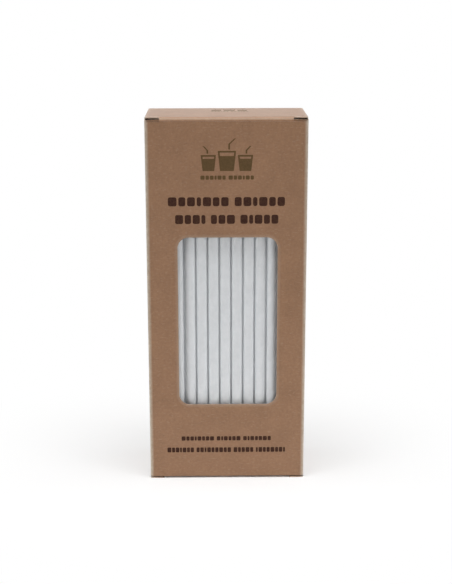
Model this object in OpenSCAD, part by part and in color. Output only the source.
// Carton of paper drinking straws: a folded kraft board carton with a
// window in its front panel and a tuck-in closure at each end, packed with
// nested rows of spiral-wound paper straws standing on end.
//
// The carton stands on its lower closure with its origin at the middle of
// its foot: X runs along the front panel, Y from front to back, Z up.
// The carton's size follows from the stack of straws inside it.

/* [Straws] */
// Outer diameter of a straw
straw_d = 6; // [5:0.1:8]
// Wall of a straw: three plies of paper wound together
straw_wall = 0.4; // [0.3:0.05:0.6]
// Length of a straw
straw_l = 200; // [150:1:250]
// Straws in the front row; every second row has one fewer
row_count = 13; // [9:1:15]
// Rows of straws from front to back
rows = 8; // [6:1:9]
// Gap between neighbours in one row
straw_gap = 0.46; // [0.3:0.01:0.8]
// Clearance between straws of neighbouring rows, which nest
nest_gap = 0.03; // [0.02:0.01:0.1]
// How far the stack stands off the middle of the carton
stack_shift = -0.8; // [-1.1:0.05:0.8]

/* [Board] */
// Thickness of the kraft board
board = 0.45; // [0.35:0.05:0.6]
// Outer radius of the folds between panels
fold_r = 0.8; // [0.7:0.05:1.2]

/* [Carton] */
// Room between a centred stack and each side panel
side_room = 1.34; // [1.2:0.02:2]
// Room behind the stack
back_room = 0.2; // [0.1:0.05:0.6]
// Room above the straws
head_room = 3.1; // [2:0.1:8]
// Width of the glue flap inside the right-hand seam
glue_w = 13; // [8:0.5:16]
// How far the glue flap's ends taper in
glue_taper = 4; // [2:0.5:8]

/* [Window] */
// Width of the window in the front panel
window_w = 54.4; // [40:0.2:60]
// Height of the window
window_h = 95.8; // [60:0.2:110]
// Radius of the window's corners
window_r = 6; // [3:0.2:10]
// Height of the window's lower edge above the foot
window_z = 44.3; // [30:0.1:60]
// How far the window stands off the middle of the panel
window_shift = 0.5; // [-2:0.1:2]

/* [Closures] */
// Reach of a tuck flap into the carton
tuck_l = 11.5; // [9:0.5:13]
// Radius of the tuck flap's lower corners
tuck_corner = 6; // [3:0.5:8]
// Outer radius of the rolled fold between lid and tuck flap
roll_r = 2.2; // [1.9:0.05:2.3]
// Length of the slit at each end of the rolled fold
slit_l = 7.5; // [5:0.5:10]
// Height of the lid's slits at their outer ends
slit_h = 1.05; // [0.6:0.05:1.2]
// How much lower the slits are at their inner ends
slit_taper = 0.3; // [0:0.05:0.4]
// Gap between the tuck flap and the front panel in front of it
tuck_gap = 0.1; // [0.08:0.02:0.3]
// Clearance of the tuck flap's edge as it swings past the front panel
swing_gap = 0.15; // [0.1:0.05:0.3]
// Clearance between the tuck flap and the straws behind it
tuck_room = 0.15; // [0.1:0.05:0.5]
// How far the front panel stops short of the top of the lid
top_drop = 2.3; // [2.2:0.1:2.6]
// How far the front panel stops short of the foot
foot_drop = 1.1; // [1.1:0.1:2]
// How far the lid stops short of the carton's side faces
lid_inset = 0.25; // [0.15:0.05:0.5]
// Length of a dust flap from the side panel inwards
dust_l = 35; // [24:1:38]
// Chamfer at the free back corner of a dust flap
dust_chamfer = 9; // [4:1:14]
// Gap between parts that lie on each other
lay_gap = 0.05; // [0.03:0.01:0.1]
// Gap at the crease that each closure swings on
crease_gap = 0.08; // [0.05:0.01:0.12]

/* [Hidden] */
$fn = 48;
ARC_STEPS = 8;                 // straight steps along a rolled fold
CUT = 1;                       // how far a cutter runs past what it cuts
JOIN = 0.05;                   // how far a straight part runs into a rolled one
UP = 90;                       // direction of +Z in an outline drawn in Y and Z
FORWARD = 180;                 // direction of -Y in such an outline
KRAFT = [0.65, 0.51, 0.41];
PAPER = [0.93, 0.93, 0.92];

// The stack of straws
pitch = straw_d + straw_gap;
row_pitch = sqrt(pow(straw_d + nest_gap, 2) - pow(pitch / 2, 2));
stack_w = (row_count - 1) * pitch + straw_d;
stack_d = (rows - 1) * row_pitch + straw_d;

// The tuck flap's free edge sits back, so that it swings past the front panel
flat_reach = stack_d + back_room + tuck_gap + tuck_room + board * 3 / 2;
tuck_set = sqrt(pow(flat_reach - tuck_gap, 2) + pow(tuck_l - board / 2, 2))
    - flat_reach + swing_gap;
front_room = tuck_gap + board + tuck_set + tuck_room;

// The carton, from the stack outwards
carton_w = stack_w + 2 * (side_room + board);
carton_d = stack_d + front_room + back_room + 2 * board;
dust_thick = board + lay_gap;
floor_z = board + dust_thick + lay_gap;
carton_h = floor_z + straw_l + head_room + board + dust_thick;
front_y = -carton_d / 2;
back_y = carton_d / 2;
front_row_y = front_y + board + front_room + straw_d / 2;

// The closures, as they lie on the top of the carton
crease_y = back_y - board / 2;
crease_z = carton_h - board / 2;
lid_half = carton_w / 2 - lid_inset;
lid_back_y = crease_y - board / 2 - crease_gap;
tuck_y = front_y + board + tuck_gap;
tuck_half = carton_w / 2 - board - lid_inset;
roll_half = lid_half - slit_l;
tuck_run = tuck_l - roll_r;
tuck_lean = atan(tuck_set / tuck_run);
tuck_plate_l = (tuck_run - roll_r * sin(tuck_lean)) / cos(tuck_lean);

// The side panels end where their dust flaps' folds begin
low = board + lay_gap + fold_r;

// The dust flaps end behind the rolled fold and the way of the tuck flap
dust_top_z = carton_h - board - lay_gap;
dust_front_y = tuck_y + roll_r + lay_gap;
dust_back_y = back_y - board - lid_inset;

// A rectangle with round corners, centred on the origin
module rounded_rectangle(w, h, r) {
    square([w - 2 * r, h], center = true);
    square([w, h - 2 * r], center = true);
    for (x = [-1, 1], y = [-1, 1])
        translate([x * (w / 2 - r), y * (h / 2 - r)]) circle(r);
}

// Extrudes an outline drawn in Y and Z along X, centred on X = 0
module along_x(length) {
    translate([-length / 2, 0, 0])
        rotate([90, 0, 90]) linear_extrude(length) children();
}

// Turns a closure drawn at the top of the carton over to its foot
module at_foot() {
    translate([0, 0, carton_h]) mirror([0, 0, 1]) children();
}

// The four panels: a tube with rounded folds between them
module sleeve() {
    translate([0, 0, low]) linear_extrude(carton_h - 2 * low) difference() {
        rounded_rectangle(carton_w, carton_d, fold_r);
        rounded_rectangle(carton_w - 2 * board, carton_d - 2 * board, fold_r - board);
    }
}

// Lengthens the front panel's foot past the folds beside it
module front_trim() {
    if (foot_drop < low)
        translate([-carton_w / 2 + fold_r, front_y, foot_drop])
            cube([carton_w - 2 * fold_r, board, low - foot_drop]);
}

// Cuts the front panel back to its edges between the folds beside it
module front_cut() {
    for (end = [[carton_h - top_drop, top_drop], [0, foot_drop]])
        translate([-carton_w / 2 + fold_r, front_y - CUT, end[0]])
            cube([carton_w - 2 * fold_r, CUT + board + JOIN, end[1]]);
}

// The window, cut through the front panel
module window_cut() {
    translate([window_shift, front_y + board + CUT, window_z + window_h / 2])
        rotate([90, 0, 0]) linear_extrude(board + 2 * CUT)
            rounded_rectangle(window_w, window_h, window_r);
}

// Back panel between the creases, each edge a round bead on the crease's axis
module back_edges() {
    edge_l = crease_z - (carton_h - low);
    for (z = [0, 1])
        translate([0, 0, z * carton_h]) mirror([0, 0, z])
            along_x(2 * lid_half) {
                translate([back_y - board, board / 2]) square([board, edge_l]);
                translate([crease_y, board / 2]) circle(board / 2);
            }
}

// A dust flap at the top of the right-hand side panel, with its fold
module dust_flap() {
    bend_x = carton_w / 2 - fold_r;
    flap_d = dust_back_y - dust_front_y;
    translate([0, dust_back_y, 0]) rotate([90, 0, 0]) linear_extrude(flap_d)
        intersection() {
            translate([bend_x, dust_top_z - fold_r]) difference() {
                circle(fold_r);
                circle(fold_r - board);
            }
            translate([bend_x, dust_top_z - fold_r]) square(fold_r + CUT);
        }
    translate([0, 0, dust_top_z - board]) linear_extrude(board)
        polygon([
            [bend_x, dust_front_y],
            [bend_x, dust_back_y],
            [bend_x - dust_l + dust_chamfer, dust_back_y],
            [bend_x - dust_l, dust_back_y - dust_chamfer],
            [bend_x - dust_l, dust_front_y + dust_chamfer / 3],
            [bend_x - dust_l + dust_chamfer / 3, dust_front_y]]);
}

// The glue flap: it folds from the back panel and lies glued inside the
// right-hand side panel
module glue_flap() {
    inner_x = carton_w / 2 - board;
    end_y = back_y - board;
    translate([inner_x, 0, 0]) rotate([0, -90, 0]) linear_extrude(board)
        polygon([
            [low, end_y],
            [carton_h - low, end_y],
            [carton_h - low - glue_taper, end_y - glue_w],
            [low + glue_taper, end_y - glue_w]]);
}

// The raw edge of the side panel shows as a fine groove beside the seam
module seam_groove() {
    translate([carton_w / 2 - board / 2, back_y - fold_r - board, low])
        cube([board, board / 2, carton_h - 2 * low]);
}

// The folded sheet without its two closures
module carton() {
    color(KRAFT) difference() {
        union() {
            sleeve();
            front_trim();
            back_edges();
            glue_flap();
            for (side = [0, 1]) mirror([side, 0, 0]) {
                dust_flap();
                at_foot() dust_flap();
            }
        }
        front_cut();
        window_cut();
        seam_groove();
    }
}

// Points along an arc about a centre, from one angle to another
function arc(centre, r, from, to) = [
    for (i = [0:ARC_STEPS])
        let (a = from + (to - from) * i / ARC_STEPS)
            centre + r * [cos(a), sin(a)]];

// Plate of a closure, with an ear at each end of its front edge
module closure_panel() {
    translate([0, 0, carton_h - board]) linear_extrude(board)
        polygon([
            [-lid_half, lid_back_y],
            [lid_half, lid_back_y],
            [lid_half, front_y],
            [roll_half, front_y],
            [roll_half, tuck_y + roll_r],
            [-roll_half, tuck_y + roll_r],
            [-roll_half, front_y],
            [-lid_half, front_y]]);
}

// The rolled fold between the slits
module closure_roll() {
    centre = [tuck_y + roll_r, carton_h - roll_r];
    along_x(2 * roll_half)
        polygon(concat(
            arc(centre, roll_r, UP, FORWARD + tuck_lean),
            arc(centre, roll_r - board, FORWARD + tuck_lean, UP)));
}

// How far the tuck flap rises beside the rolled fold, to a gap below the ears
function shoulder_rise(gap) =
    (roll_r - board - gap + (roll_r - board) * sin(tuck_lean)) / cos(tuck_lean);

// The tuck flap's shoulders, which stand beside the rolled fold of the lid
module shoulders() {
    for (side = [0, 1]) mirror([side, 0])
        polygon([
            [roll_half + lay_gap, -JOIN],
            [tuck_half, -JOIN],
            [tuck_half, shoulder_rise(slit_h)],
            [roll_half + lay_gap, shoulder_rise(slit_h - slit_taper)]]);
}

// The tuck flap, which leans back as it reaches into the carton
module tuck_flap(with_shoulders) {
    translate([0, tuck_y + roll_r, carton_h - roll_r])
        rotate([90 + tuck_lean, 0, 0])
            translate([0, 0, roll_r - board]) linear_extrude(board) {
                intersection() {
                    translate([-tuck_half, -tuck_plate_l])
                        square([2 * tuck_half, tuck_plate_l + JOIN]);
                    translate([0, 2 * tuck_corner - tuck_plate_l])
                        rounded_rectangle(2 * tuck_half, 4 * tuck_corner, tuck_corner);
                }
                if (with_shoulders) shoulders();
            }
}

// A closure: panel, rolled fold and tuck flap, folded from one strip
module closure(with_shoulders) {
    color(KRAFT) {
        closure_panel();
        closure_roll();
        tuck_flap(with_shoulders);
    }
}

module lid() {
    closure(with_shoulders = true);
}

// At the foot the front panel covers the place of the shoulders
module bottom_flap() {
    at_foot() closure(with_shoulders = false);
}

// One straw, an open tube standing on end
module straw() {
    color(PAPER) difference() {
        cylinder(d = straw_d, h = straw_l);
        translate([0, 0, -CUT])
            cylinder(d = straw_d - 2 * straw_wall, h = straw_l + 2 * CUT);
    }
}

// Place of straw i, counted from the left, in row r, counted from the front
function straws_in(r) = row_count - (r + 1) % 2;
function straw_place(r, i) = [
    stack_shift + (i - (straws_in(r) + 1) / 2) * pitch,
    front_row_y + (r - 1) * row_pitch,
    floor_z];

module front_straw(i) {
    translate(straw_place(1, i)) straw();
}

module straw_row(r) {
    for (i = [1:straws_in(r)]) translate(straw_place(r, i)) straw();
}

carton();
lid();
bottom_flap();
for (i = [1:row_count])
    front_straw(i);
for (r = [2:rows])
    straw_row(r);
